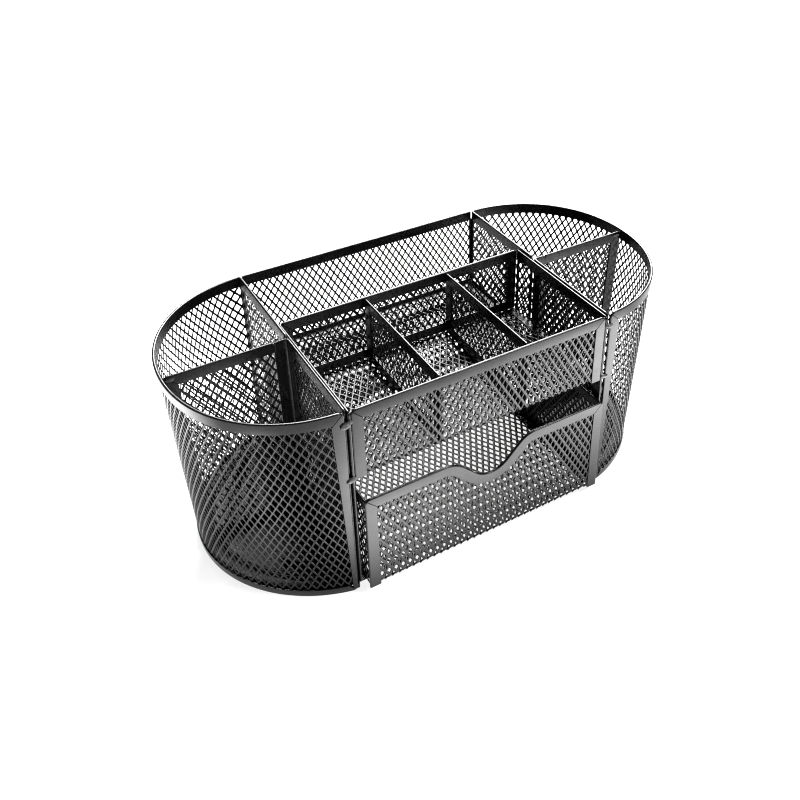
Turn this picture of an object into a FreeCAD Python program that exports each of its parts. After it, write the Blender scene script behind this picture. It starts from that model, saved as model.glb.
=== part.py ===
import FreeCAD, Part
import os
import math

# Desk organizer of black expanded-metal mesh: two D-shaped pen cups, a tray
# with three bays, a shallow rear bin and one sliding drawer under them.
# Millimetres, +Z up, front towards -Y. The origin is on the ground, in the
# middle of the footprint with the drawer standing ajar.

os.makedirs("parts", exist_ok=True)
doc = FreeCAD.newDocument("PenStand")

# ---------------------------------------------------------------- sizes
sheet = doc.addObject("Spreadsheet::Sheet", "Sizes")
SIZES = [
    # name, value (mm or plain number), what it is
    ("wall_x", 65.5, "outer face of each flat side wall"),
    ("half_d", 58.4, "half depth of the body"),
    ("high", 100.0, "overall height"),
    ("bulge_top", 55.0, "how far a cup stands out past its flat wall, at the rim"),
    ("bulge_low", 50.2, "the same at the foot"),
    ("shift_y", 2.5, "offset that centres the footprint with the drawer ajar"),
    ("ajar", 5.0, "how far the drawer stands out at rest"),
    ("mesh_t", 0.8, "thickness of a mesh panel"),
    ("rim_t", 1.4, "thickness of a folded edge strip"),
    ("rim_w", 5.2, "width of a folded edge strip"),
    ("post_w", 5.8, "width of a cup's front post"),
    ("rear_w", 2.2, "width of a cup's rear post and of the side wall's rear strip"),
    ("foot_h", 3.7, "height of a cup's foot rim"),
    ("base_z", 2.4, "underside of floors, side walls and runners"),
    ("floor_t", 0.8, "thickness of a cup floor"),
    ("top_in", 99.4, "top of the side walls and dividers"),
    ("tray_top", 98.8, "top of the tray's walls"),
    ("tray_z", 63.6, "underside of the tray floor"),
    ("tray_back", 12.0, "front face of the tray's rear wall"),
    ("bay_x", 21.7, "centre of each tray divider"),
    ("bin_z", 55.8, "underside of the rear bin's floor"),
    ("lid_w", 5.0, "width of the flange round the rear bin's floor"),
    ("inner_t", 1.2, "thickness of the inner side panels"),
    ("drawer_x", 61.7, "half width of the drawer"),
    ("drawer_low", 3.5, "underside of the drawer"),
    ("drawer_top", 55.0, "top of the drawer front"),
    ("side_top", 54.0, "top of the drawer's sides and back"),
    ("drawer_d", 113.0, "depth of the drawer"),
    ("scoop_x", 23.5, "half width of the finger scoop"),
    ("scoop_h", 13.7, "depth of the finger scoop"),
    ("scoop_r", 11.8, "radius of the scoop's bends"),
    ("runner_in", 57.6, "inner edge of each drawer runner"),
    ("runner_t", 0.8, "thickness of a drawer runner"),
]
for i, (name, value, words) in enumerate(SIZES, start=1):
    sheet.set("A%d" % i, name)
    sheet.set("B%d" % i, str(value))
    sheet.set("C%d" % i, words)
    sheet.setAlias("B%d" % i, name)
doc.recompute()
V = {name: float(getattr(sheet, name)) for name, _, _ in SIZES}


def expr(text):
    """The text with each size's name turned into a reference to its cell."""
    out, word = "", ""
    for ch in text + " ":
        if ch.isalnum() or ch == "_":
            word += ch
        else:
            out += ("Sizes." + word) if word in V else word
            word = ""
            out += ch
    return out.strip()


finals = []


def keep(obj, name):
    obj.Label = name
    finals.append((name, obj))
    return obj


def box(name, x0, x1, y0, y1, z0, z1):
    """A Part::Box between two corners, each bound to the sheet. The corners are
    formulas in the body's own frame; every y also gets the footprint's shift."""
    b = doc.addObject("Part::Box", name)
    b.setExpression("Length", expr("(%s) - (%s)" % (x1, x0)))
    b.setExpression("Width", expr("(%s) - (%s)" % (y1, y0)))
    b.setExpression("Height", expr("(%s) - (%s)" % (z1, z0)))
    b.setExpression("Placement.Base.x", expr(x0))
    b.setExpression("Placement.Base.y", expr("%s + shift_y" % y0))
    b.setExpression("Placement.Base.z", expr(z0))
    return b


def cut(name, base, tool):
    c = doc.addObject("Part::Cut", name)
    c.Base, c.Tool = base, tool
    return c


def fuse(name, shapes):
    f = doc.addObject("Part::MultiFuse", name)
    f.Shapes = shapes
    return f


def group(name, shapes):
    g = doc.addObject("Part::Compound", name)
    g.Links = shapes
    return g


def ring_x(name, x0, x1, y0, y1, z0, z1, w="rim_w", low=None, rear=None):
    """A rectangular ring that lies across X: a panel's folded edging."""
    low = w if low is None else low
    rear = w if rear is None else rear
    a = box(name + "_outer", x0, x1, y0, y1, z0, z1)
    b = box(name + "_hole", x0 + " - 1", x1 + " + 1", y0 + " + " + w, y1 + " - " + rear, z0 + " + " + low, z1 + " - " + w)
    return cut(name + "_ring", a, b)


def ring_y(name, x0, x1, y0, y1, z0, z1, w="rim_w", low=None):
    """The same for a panel that lies across Y."""
    low = w if low is None else low
    a = box(name + "_outer", x0, x1, y0, y1, z0, z1)
    b = box(name + "_hole", x0 + " + " + w, x1 + " - " + w, y0 + " - 1", y1 + " + 1", z0 + " + " + low, z1 + " - " + w)
    return cut(name + "_ring", a, b)


# ---------------------------------------------------------------- cups
# A cup's wall is a ruled surface between two plan curves, fuller at the rim
# than at the foot. Its sections are splines through points on those curves.
FULL_TOP, FULL_LOW = 0.9995, 0.973
POWER_TOP, POWER_LOW = 2.09, 2.0


def plan_point(u, z):
    """(x out from the flat wall, y) on the outer plan curve, u from -1 to 1."""

    def out(bulge, full, power):
        top = (1 - (full * abs(u)) ** power) ** (1 / power)
        end = (1 - full**power) ** (1 / power)
        return bulge * (top - end) / (1 - end)

    k = z / V["high"]
    x = (1 - k) * out(V["bulge_low"], FULL_LOW, POWER_LOW) + k * out(V["bulge_top"], FULL_TOP, POWER_TOP)
    return x, V["half_d"] * u


def plan_curve(side, z, inset, t0=-1.0, t1=1.0, n=25):
    """Points along the plan curve, moved inwards by inset."""
    pts = []
    for i in range(n):
        t = t0 + (t1 - t0) * i / (n - 1)
        u = math.sin(t * math.pi / 2)
        e = 1e-3
        ua = math.sin(max(-1.0, t - e) * math.pi / 2)
        ub = math.sin(min(1.0, t + e) * math.pi / 2)
        (xa, ya), (xb, yb) = plan_point(ua, z), plan_point(ub, z)
        x, y = plan_point(u, z)
        dx, dy = xb - xa, yb - ya
        n_ = math.hypot(dx, dy)
        # the outward normal is (dy, -dx)
        x -= inset * dy / n_
        y += inset * dx / n_
        pts.append((max(x, 0.0), y))
    return [FreeCAD.Vector(side * (V["wall_x"] + x), y + V["shift_y"], z) for x, y in pts]


def spline(points):
    c = Part.BSplineCurve()
    c.interpolate(points)
    return c.toShape()


def wall_section(side, z, t0, t1, n, out_by=0.0, thick=1.0):
    """A closed wire: the band between the plan curve and its inward offset."""
    a = plan_curve(side, z, out_by, t0, t1, n)
    b = plan_curve(side, z, out_by + thick, t0, t1, n)
    return Part.Wire(
        [
            spline(a),
            Part.LineSegment(a[-1], b[-1]).toShape(),
            spline(list(reversed(b))),
            Part.LineSegment(b[0], a[0]).toShape(),
        ]
    )


def wall_solid(side, z0, z1, t0=-1.0, t1=1.0, n=25, out_by=0.0, thick=1.0):
    low = wall_section(side, z0, t0, t1, n, out_by, thick)
    top = wall_section(side, z1, t0, t1, n, out_by, thick)
    return Part.makeLoft([low, top], True, True)


def feature(name, shape):
    f = doc.addObject("Part::Feature", name)
    f.Shape = shape
    f.Placement = FreeCAD.Placement()
    return f


def arc_t(side, width):
    """The curve parameter at which the plan curve has run width from its end."""
    t, step, run = -1.0, 0.0005, 0.0
    last = plan_curve(1, V["high"], 0.0, -1.0, -0.999, 2)[0]
    while run < width:
        t += step
        now = plan_curve(1, V["high"], 0.0, t, t + 1e-6, 2)[0]
        run += (now - last).Length
        last = now
    return t


T_POST = arc_t(1, V["post_w"])
T_REAR = -arc_t(1, V["rear_w"])

for side, word in ((-1, "left"), (1, "right")):
    high, foot, rim, mt, rt = V["high"], V["foot_h"], V["rim_w"], V["mesh_t"], V["rim_t"]
    gap = (rt - mt) / 2
    keep(feature(word + "_cup_top_rim", wall_solid(side, high - rim, high, thick=rt)), word + "_cup_top_rim")
    keep(feature(word + "_cup_foot_rim", wall_solid(side, 0.0, foot, thick=rt)), word + "_cup_foot_rim")
    posts = Part.makeCompound(
        [
            wall_solid(side, foot, high - rim, -1.0, T_POST, 5, thick=rt),
            wall_solid(side, foot, high - rim, T_REAR, 1.0, 3, thick=rt),
        ]
    )
    keep(feature(word + "_cup_posts", posts), word + "_cup_posts")
    keep(
        feature(word + "_cup_wall_mesh", wall_solid(side, foot, high - rim, T_POST, T_REAR, 25, out_by=gap, thick=mt)),
        word + "_cup_wall_mesh",
    )
    # the cup's solid floor, crimped inside the foot rim
    z0, z1 = V["base_z"], V["base_z"] + V["floor_t"]
    inner = plan_curve(side, z0, rt, -1.0, 1.0, 25)
    edge = Part.Wire([spline(inner), Part.LineSegment(inner[-1], inner[0]).toShape()])
    keep(feature(word + "_cup_floor", Part.Face(edge).extrude(FreeCAD.Vector(0, 0, z1 - z0))), word + "_cup_floor")

# ---------------------------------------------------------------- flat side walls
# Each closes the rear half of its cup; the divider's leg closes the front half.
for s, word in (("-1", "left"), ("1", "right")):
    # x runs from the outer face to the inner face
    if word == "left":
        x0, x1 = "-1 * wall_x", "-1 * wall_x + rim_t"
        m0, m1 = "-1 * wall_x + rim_t / 2 - mesh_t / 2", "-1 * wall_x + rim_t / 2 + mesh_t / 2"
    else:
        x0, x1 = "wall_x - rim_t", "wall_x"
        m0, m1 = "wall_x - rim_t / 2 - mesh_t / 2", "wall_x - rim_t / 2 + mesh_t / 2"
    y0, y1 = "0.5 * inner_t + 0.2", "half_d - rim_t"
    z0, z1 = "base_z", "top_in"
    keep(ring_x(word + "_wall", x0, x1, y0, y1, z0, z1, rear="rear_w"), word + "_side_wall_frame")
    keep(
        box(word + "_wall_panel", m0, m1, y0 + " + rim_w", y1 + " - rear_w", z0 + " + rim_w", z1 + " - rim_w"),
        word + "_side_wall_mesh",
    )

# ---------------------------------------------------------------- cup dividers
# One panel across the cup, bent round to a leg that closes the cup's front
# half in the plane of the flat wall, with folded edging on both.
for word in ("left", "right"):
    sg = "-1" if word == "left" else "1"
    if word == "left":
        leg0, leg1 = "-1 * wall_x", "-1 * wall_x + rim_t"
        lm0, lm1 = "-1 * wall_x + rim_t / 2 - mesh_t / 2", "-1 * wall_x + rim_t / 2 + mesh_t / 2"
        far, near = "-1 * wall_x - bulge_low + rim_t", "-1 * wall_x + rim_t"
    else:
        leg0, leg1 = "wall_x - rim_t", "wall_x"
        lm0, lm1 = "wall_x - rim_t / 2 - mesh_t / 2", "wall_x - rim_t / 2 + mesh_t / 2"
        far, near = "wall_x + bulge_low - rim_t", "wall_x - rim_t"
    z0, z1 = "base_z + floor_t", "top_in"
    d0, d1 = "-0.5 * inner_t", "0.5 * inner_t"
    dm0, dm1 = "-0.5 * mesh_t", "0.5 * mesh_t"
    if word == "left":
        ring_a = ring_y(word + "_div", far, near, d0, d1, z0, z1)
        mesh_a = box(word + "_div_m", far + " + rim_w", near + " - rim_w", dm0, dm1, z0 + " + rim_w", z1 + " - rim_w")
    else:
        ring_a = ring_y(word + "_div", near, far, d0, d1, z0, z1)
        mesh_a = box(word + "_div_m", near + " + rim_w", far + " - rim_w", dm0, dm1, z0 + " + rim_w", z1 + " - rim_w")
    y0, y1 = "-1 * half_d + rim_t", "0.5 * inner_t"
    ring_b = ring_x(word + "_leg", leg0, leg1, y0, y1, z0, z1)
    keep(fuse(word + "_div_frame", [ring_a, ring_b]), word + "_divider_frame")
    keep(mesh_a, word + "_divider_mesh")
    keep(
        box(word + "_leg_m", lm0, lm1, y0 + " + rim_w", y1 + " - rim_w", z0 + " + rim_w", z1 + " - rim_w"),
        word + "_divider_leg_mesh",
    )

# ---------------------------------------------------------------- back wall
bx0, bx1 = "-1 * wall_x + rim_t", "wall_x - rim_t"
by0, by1 = "half_d - rim_t", "half_d"
keep(box("back_top", bx0, bx1, by0, by1, "high - rim_w", "high"), "back_wall_top_rim")
keep(box("back_low", bx0, bx1, by0, by1, "base_z", "base_z + rim_w"), "back_wall_foot_strip")
keep(
    box("back_m", bx0, bx1, "half_d - rim_t / 2 - mesh_t / 2", "half_d - rim_t / 2 + mesh_t / 2", "base_z + rim_w", "high - rim_w"),
    "back_wall_mesh",
)

# ---------------------------------------------------------------- inner side panels of the tray and drawer bay
for word in ("left", "right"):
    if word == "left":
        x0, x1 = "-1 * wall_x + rim_t", "-1 * wall_x + rim_t + inner_t"
        m0, m1 = "-1 * wall_x + rim_t + inner_t / 2 - mesh_t / 2", "-1 * wall_x + rim_t + inner_t / 2 + mesh_t / 2"
    else:
        x0, x1 = "wall_x - rim_t - inner_t", "wall_x - rim_t"
        m0, m1 = "wall_x - rim_t - inner_t / 2 - mesh_t / 2", "wall_x - rim_t - inner_t / 2 + mesh_t / 2"
    y0, y1 = "-1 * half_d", "tray_back"
    z0, z1 = "base_z + runner_t", "tray_top"
    keep(ring_x(word + "_bay", x0, x1, y0, y1, z0, z1, low="0.8 * rim_w"), word + "_bay_side_frame")
    keep(
        box(word + "_bay_m", m0, m1, y0 + " + rim_w", y1 + " - rim_w", z0 + " + 0.8 * rim_w", z1 + " - rim_w"),
        word + "_bay_side_mesh",
    )

# ---------------------------------------------------------------- tray
# clear half width inside the inner side panels
tx0, tx1 = "-1 * wall_x + rim_t + inner_t", "wall_x - rim_t - inner_t"
fy0, fy1 = "-1 * half_d", "-1 * half_d + rim_t"

# front: a top strip with two legs, and no strip along its foot
body = doc.addObject("PartDesign::Body", "TrayFrontFrame")
sk = body.newObject("Sketcher::SketchObject", "TrayFrontOutline")
plane = [f for f in body.Origin.OriginFeatures if f.Role == "XZ_Plane"][0]
sk.AttachmentSupport = [(plane, "")]
sk.MapMode = "FlatFace"
hw = V["wall_x"] - V["rim_t"] - V["inner_t"]
zt, zl, rw = V["tray_top"] + 0.4, V["tray_z"], V["rim_w"]
P = FreeCAD.Vector
corners = [(-hw, zl), (-hw + rw, zl), (-hw + rw, zt - rw), (hw - rw, zt - rw), (hw - rw, zl), (hw, zl), (hw, zt), (-hw, zt)]
lines = []
for i in range(8):
    a, b = corners[i], corners[(i + 1) % 8]
    lines.append(sk.addGeometry(Part.LineSegment(P(a[0], a[1], 0), P(b[0], b[1], 0)), False))
import Sketcher

for i in range(8):
    sk.addConstraint(Sketcher.Constraint("Coincident", lines[i], 2, lines[(i + 1) % 8], 1))
for i in (0, 2, 4):
    sk.addConstraint(Sketcher.Constraint("Horizontal", lines[i]))
for i in (1, 3, 5, 7):
    sk.addConstraint(Sketcher.Constraint("Vertical", lines[i]))
sk.addConstraint(Sketcher.Constraint("Symmetric", lines[7], 1, lines[6], 1, -2))
sk.addConstraint(Sketcher.Constraint("Equal", lines[0], lines[4]))
sk.addConstraint(Sketcher.Constraint("Equal", lines[1], lines[3]))
ci = sk.addConstraint(Sketcher.Constraint("DistanceX", lines[6], 2, lines[6], 1, 2 * hw))
sk.renameConstraint(ci, "across")
ci = sk.addConstraint(Sketcher.Constraint("DistanceX", lines[0], 1, lines[0], 2, rw))
sk.renameConstraint(ci, "leg")
ci = sk.addConstraint(Sketcher.Constraint("DistanceY", lines[2], 1, lines[7], 1, rw))
sk.renameConstraint(ci, "strip")
ci = sk.addConstraint(Sketcher.Constraint("DistanceY", -1, 1, lines[0], 1, zl))
sk.renameConstraint(ci, "low")
ci = sk.addConstraint(Sketcher.Constraint("DistanceY", -1, 1, lines[7], 1, zt))
sk.renameConstraint(ci, "top")
sk.setExpression("Constraints.across", expr("2 * (wall_x - rim_t - inner_t)"))
sk.setExpression("Constraints.leg", expr("rim_w"))
sk.setExpression("Constraints.strip", expr("rim_w"))
sk.setExpression("Constraints.low", expr("tray_z"))
sk.setExpression("Constraints.top", expr("tray_top + 0.4"))
pad = body.newObject("PartDesign::Pad", "TrayFrontPad")
pad.Profile = sk
pad.setExpression("Length", expr("rim_t"))
pad.Reversed = True
body.Tip = pad
body.setExpression("Placement.Base.y", expr("shift_y - half_d"))
doc.recompute()
keep(body, "tray_front_frame")

keep(
    box("tray_front_m", tx0 + " + rim_w", tx1 + " - rim_w", "-1 * half_d + rim_t / 2 - mesh_t / 2", "-1 * half_d + rim_t / 2 + mesh_t / 2", "tray_z", "tray_top + 0.4 - rim_w"),
    "tray_front_mesh",
)
keep(ring_y("tray_rear", tx0, tx1, "tray_back", "tray_back + rim_t", "tray_z + 1", "tray_top"), "tray_rear_frame")
keep(
    box("tray_rear_m", tx0 + " + rim_w", tx1 + " - rim_w", "tray_back + rim_t / 2 - mesh_t / 2", "tray_back + rim_t / 2 + mesh_t / 2", "tray_z + 1 + rim_w", "tray_top - rim_w"),
    "tray_rear_mesh",
)
keep(box("tray_floor_m", tx0, tx1, "-1 * half_d + rim_t", "tray_back", "tray_z", "tray_z + 1"), "tray_floor_mesh")
for word, mid in (("left", "-1 * bay_x"), ("right", "bay_x")):
    keep(
        ring_x("tray_div_" + word, mid + " - inner_t / 2", mid + " + inner_t / 2", "-1 * half_d + rim_t", "tray_back", "tray_z + 1", "tray_top - 0.2"),
        "tray_divider_%s_frame" % word,
    )
    keep(
        box("tray_div_m_" + word, mid + " - mesh_t / 2", mid + " + mesh_t / 2", "-1 * half_d + rim_t + rim_w", "tray_back - rim_w", "tray_z + 1 + rim_w", "tray_top - 0.2 - rim_w"),
        "tray_divider_%s_mesh" % word,
    )

# ---------------------------------------------------------------- rear bin
gy0, gy1 = "tray_back + rim_t", "half_d - rim_t"
outer = box("bin_floor_outer", bx0, bx1, gy0, gy1, "bin_z", "bin_z + 1")
hole = box("bin_floor_hole", bx0 + " + lid_w", bx1 + " - lid_w", gy0 + " + lid_w", gy1 + " - lid_w", "bin_z - 1", "bin_z + 2")
keep(cut("bin_floor_ring", outer, hole), "rear_bin_floor_frame")
keep(
    box("bin_floor_m", bx0 + " + lid_w", bx1 + " - lid_w", gy0 + " + lid_w", gy1 + " - lid_w", "bin_z + 0.1", "bin_z + 0.9"),
    "rear_bin_floor_mesh",
)
# strips that stand round the bin floor: along the back wall and each side wall
strips = [
    box("bin_strip_back", bx0, bx1, "half_d - rim_t - 0.7", "half_d - rim_t", "bin_z + 1", "bin_z + 1 + lid_w"),
    box("bin_strip_left", bx0, bx0 + " + 0.7", gy0, "half_d - rim_t - 0.7", "bin_z + 1", "bin_z + 1 + lid_w"),
    box("bin_strip_right", bx1 + " - 0.7", bx1, gy0, "half_d - rim_t - 0.7", "bin_z + 1", "bin_z + 1 + lid_w"),
]
keep(group("bin_strips", strips), "rear_bin_edge_strips")
keep(
    box("bin_front_m", bx0, bx1, "tray_back", "tray_back + rim_t", "bin_z", "tray_z + 1"),
    "rear_bin_front_mesh",
)

# ---------------------------------------------------------------- drawer runners
runs = [
    box("runner_l", "-1 * wall_x + rim_t", "-1 * runner_in", "-1 * half_d + rim_t", "half_d - rim_t", "base_z", "base_z + runner_t"),
    box("runner_r", "runner_in", "wall_x - rim_t", "-1 * half_d + rim_t", "half_d - rim_t", "base_z", "base_z + runner_t"),
]
keep(group("runners", runs), "drawer_runners")

# ---------------------------------------------------------------- weld beads
# Beads that bridge the cup post, the side wall, the inner panel and the tray's leg.
beads = []
for i, (sx, zz, ln) in enumerate(((-1, 93.0, 3.2), (-1, 64.0, 3.0), (1, 93.5, 3.0), (1, 65.5, 2.6))):
    e = doc.addObject("Part::Prism", "bead_%d" % i)
    e.Polygon = 8
    e.Circumradius = 0.62
    e.Height = ln
    e.Placement = FreeCAD.Placement(
        FreeCAD.Vector(sx * (V["wall_x"] - 0.9), 0, zz - ln / 2.0),
        FreeCAD.Rotation(FreeCAD.Vector(0, 0, 1), 22.5),
    )
    e.setExpression("Placement.Base.y", expr("shift_y - half_d - 0.6"))
    beads.append(e)
# Beads that join the top of each cup divider to the rim, across the gap that
# the cup's slanting wall leaves there.
bead_z = V["high"] - V["rim_w"] / 2.0
x_in = V["wall_x"] + V["bulge_low"] - V["rim_t"]
x_out = V["wall_x"] + plan_point(0.0, bead_z - 0.95)[0] - V["rim_t"] - 0.05
for i, sx in enumerate((-1, 1)):
    e = doc.addObject("Part::Prism", "divider_bead_%d" % i)
    e.Polygon = 8
    e.Circumradius = 0.95
    e.Height = x_out - x_in
    e.Placement = FreeCAD.Placement(
        FreeCAD.Vector(min(sx * x_in, sx * x_out), V["shift_y"], bead_z),
        FreeCAD.Rotation(FreeCAD.Vector(0, 1, 0), 90),
    )
    beads.append(e)
keep(group("beads", beads), "weld_beads")

# ---------------------------------------------------------------- drawer
dx0, dx1 = "-1 * drawer_x", "drawer_x"
df = "-1 * half_d - ajar"

# front frame: top strip with the finger scoop, and two side strips
body = doc.addObject("PartDesign::Body", "DrawerFrontFrame")
sk = body.newObject("Sketcher::SketchObject", "DrawerFrontOutline")
plane = [f for f in body.Origin.OriginFeatures if f.Role == "XZ_Plane"][0]
sk.AttachmentSupport = [(plane, "")]
sk.MapMode = "FlatFace"


def scoop(top, r_out, r_in, half, deep):
    """Points of one side of the scoop, from the middle of the trough to the
    shoulder: arc, 45 degree run, arc. r_in is the trough's radius and r_out
    the shoulder's."""
    c45 = math.sqrt(0.5)
    trough_c = (0.0, top - deep + r_in)
    a = (r_in * c45, trough_c[1] - r_in * c45)
    should_c = (half, top - r_out)
    b = (half - r_out * c45, should_c[1] + r_out * c45)
    return trough_c, a, should_c, b


def scoop_edge(top, r_out, r_in, half, deep, hx, flip):
    """Edges from one side of the front to the other along the scooped top."""
    tc, a, sc, b = scoop(top, r_out, r_in, half, deep)
    edges = []
    edges.append(("line", (-hx, top), (-half, top)))
    mid = (-half + r_out * math.sin(math.pi / 8), top - r_out + r_out * math.cos(math.pi / 8))
    edges.append(("arc", (-half, top), mid, (-b[0], b[1])))
    edges.append(("line", (-b[0], b[1]), (-a[0], a[1])))
    edges.append(("arc", (-a[0], a[1]), (0.0, top - deep), (a[0], a[1])))
    edges.append(("line", (a[0], a[1]), (b[0], b[1])))
    mid = (half - r_out * math.sin(math.pi / 8), top - r_out + r_out * math.cos(math.pi / 8))
    edges.append(("arc", (b[0], b[1]), mid, (half, top)))
    edges.append(("line", (half, top), (hx, top)))
    return edges


def geometry(edges):
    out = []
    for e in edges:
        p = [P(q[0], q[1], 0) for q in e[1:]]
        out.append(Part.LineSegment(p[0], p[1]) if e[0] == "line" else Part.Arc(p[0], p[1], p[2]))
    return out


hx, top, low = V["drawer_x"], V["drawer_top"], V["drawer_low"]
r, half, deep = V["scoop_r"], V["scoop_x"], V["scoop_h"]
upper = scoop_edge(top, r, r, half, deep, hx, False)
lower = scoop_edge(top - rw, r - rw, r + rw, half, deep, hx - rw, True)
outline = list(upper)
outline.append(("line", (hx, top), (hx, low)))
outline.append(("line", (hx, low), (hx - rw, low)))
outline.append(("line", (hx - rw, low), (hx - rw, top - rw)))
for e in reversed(lower):
    outline.append((e[0],) + tuple(reversed(e[1:])))
outline.append(("line", (-hx + rw, top - rw), (-hx + rw, low)))
outline.append(("line", (-hx + rw, low), (-hx, low)))
outline.append(("line", (-hx, low), (-hx, top)))
sk.addGeometry(geometry(outline), False)
n = len(outline)
for i in range(n):
    sk.addConstraint(Sketcher.Constraint("Block", i))
pad = body.newObject("PartDesign::Pad", "DrawerFrontPad")
pad.Profile = sk
pad.setExpression("Length", expr("rim_t"))
pad.Reversed = True
body.Tip = pad
body.setExpression("Placement.Base.y", expr("shift_y - half_d - ajar"))
doc.recompute()
keep(body, "drawer_front_frame")

# front mesh: the area inside the frame
body = doc.addObject("PartDesign::Body", "DrawerFrontMesh")
sk = body.newObject("Sketcher::SketchObject", "DrawerMeshOutline")
plane = [f for f in body.Origin.OriginFeatures if f.Role == "XZ_Plane"][0]
sk.AttachmentSupport = [(plane, "")]
sk.MapMode = "FlatFace"
outline = list(lower)
outline.append(("line", (hx - rw, top - rw), (hx - rw, low)))
outline.append(("line", (hx - rw, low), (-hx + rw, low)))
outline.append(("line", (-hx + rw, low), (-hx + rw, top - rw)))
sk.addGeometry(geometry(outline), False)
for i in range(len(outline)):
    sk.addConstraint(Sketcher.Constraint("Block", i))
pad = body.newObject("PartDesign::Pad", "DrawerMeshPad")
pad.Profile = sk
pad.setExpression("Length", expr("mesh_t"))
pad.Reversed = True
body.Tip = pad
body.setExpression("Placement.Base.y", expr("shift_y - half_d - ajar + rim_t / 2 - mesh_t / 2"))
doc.recompute()
keep(body, "drawer_front_mesh")

dy0 = "-1 * half_d - ajar + rim_t"
dy1 = "-1 * half_d - ajar + drawer_d"
keep(box("drawer_floor_m", dx0, dx1, dy0, dy1, "drawer_low", "drawer_low + mesh_t"), "drawer_floor_mesh")
for word in ("left", "right"):
    if word == "left":
        x0, x1 = "-1 * drawer_x", "-1 * drawer_x + inner_t"
        m0, m1 = "-1 * drawer_x + inner_t / 2 - mesh_t / 2", "-1 * drawer_x + inner_t / 2 + mesh_t / 2"
    else:
        x0, x1 = "drawer_x - inner_t", "drawer_x"
        m0, m1 = "drawer_x - inner_t / 2 - mesh_t / 2", "drawer_x - inner_t / 2 + mesh_t / 2"
    keep(box("drawer_%s_rim" % word, x0, x1, dy0, dy1, "side_top - 0.8 * rim_w", "side_top"), "drawer_%s_side_rim" % word)
    keep(
        box("drawer_%s_m" % word, m0, m1, dy0, dy1, "drawer_low + mesh_t", "side_top - 0.8 * rim_w"),
        "drawer_%s_side_mesh" % word,
    )
ix0, ix1 = "-1 * drawer_x + inner_t", "drawer_x - inner_t"
keep(
    box("drawer_back_rim_b", ix0, ix1, dy1 + " - inner_t", dy1, "side_top - 0.8 * rim_w", "side_top"),
    "drawer_back_rim",
)
keep(
    box("drawer_back_m", ix0, ix1, dy1 + " - inner_t / 2 - mesh_t / 2", dy1 + " - inner_t / 2 + mesh_t / 2", "drawer_low + mesh_t", "side_top - 0.8 * rim_w"),
    "drawer_back_mesh",
)

# ---------------------------------------------------------------- test and write
doc.recompute()
bad = []
for obj in doc.Objects:
    state = [str(x) for x in getattr(obj, "State", [])]
    if "Invalid" in state or "Error" in state:
        bad.append("%s %s" % (obj.Name, state))
names = [name for name, _ in finals]
if len(set(names)) != len(names):
    bad.append("two parts share a name")
for name, obj in finals:
    shape = obj.Shape
    if shape.isNull() or not shape.isValid() or not shape.Solids or shape.Volume <= 0:
        bad.append("%s has no valid solid" % name)
if bad:
    raise SystemExit("\n".join(bad))
for name, obj in finals:
    obj.Shape.exportStep("parts/%s.step" % name)
total = sum(obj.Shape.Volume for _, obj in finals)
print("%d parts, %.1f cm3 of solid" % (len(finals), total / 1000.0))
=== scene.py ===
import math

import bmesh
import bpy
import numpy as np
from mathutils import Matrix, Vector, noise


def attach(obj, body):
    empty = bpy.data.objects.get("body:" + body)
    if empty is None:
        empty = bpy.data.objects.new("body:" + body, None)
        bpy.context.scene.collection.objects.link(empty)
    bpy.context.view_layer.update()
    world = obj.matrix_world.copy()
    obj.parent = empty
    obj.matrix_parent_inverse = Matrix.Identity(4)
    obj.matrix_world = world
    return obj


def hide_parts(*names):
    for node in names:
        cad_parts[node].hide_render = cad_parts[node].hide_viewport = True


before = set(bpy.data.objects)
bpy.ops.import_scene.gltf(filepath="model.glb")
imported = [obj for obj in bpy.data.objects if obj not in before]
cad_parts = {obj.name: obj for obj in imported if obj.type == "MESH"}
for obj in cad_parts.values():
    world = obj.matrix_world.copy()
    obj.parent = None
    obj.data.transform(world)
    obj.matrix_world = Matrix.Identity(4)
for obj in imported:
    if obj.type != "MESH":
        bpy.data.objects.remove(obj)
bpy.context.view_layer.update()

# ---------------------------------------------------------------- sizes
# Millimetres in the organizer's own frame: the body is centred on y = 0. The
# part's frame has y 2.5 mm further back, because it is centred with the drawer
# standing ajar.
SHIFT_Y = 2.5
WALL_X, HALF_D, HIGH = 65.5, 58.4, 100.0
BULGE_TOP, BULGE_LOW = 55.0, 50.2
FULL_TOP, FULL_LOW, POWER_TOP, POWER_LOW = 0.9995, 0.973, 2.09, 2.0
RIM_T, RIM_W, INNER_T = 1.4, 5.2, 1.2
POST_W, REAR_W, FOOT_H = 5.8, 2.2, 3.7
BASE_Z, FLOOR_T, TOP_IN, TRAY_TOP, TRAY_Z, TRAY_BACK = 2.4, 0.8, 99.4, 98.8, 63.6, 12.0
BAY_X, BIN_Z, LID_W = 21.7, 55.8, 5.0
DRAWER_X, DRAWER_LOW, DRAWER_TOP, SIDE_TOP, DRAWER_D, AJAR = 61.7, 3.5, 55.0, 54.0, 113.0, 5.0
SCOOP_X, SCOOP_H, SCOOP_R = 23.5, 13.7, 11.8

# expanded metal: short pitch of the walls' and of the trays' sheet, long pitch,
# half a strand's width, its thickness and its lean out of the sheet
WALL_PITCH, TRAY_PITCH, PITCH_V = 3.73, 3.52, 5.88
WALL_STRAND, TRAY_STRAND, LEAN = (0.44, 0.40), (0.60, 0.52), 0.09

rng = np.random.default_rng(7)


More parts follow.
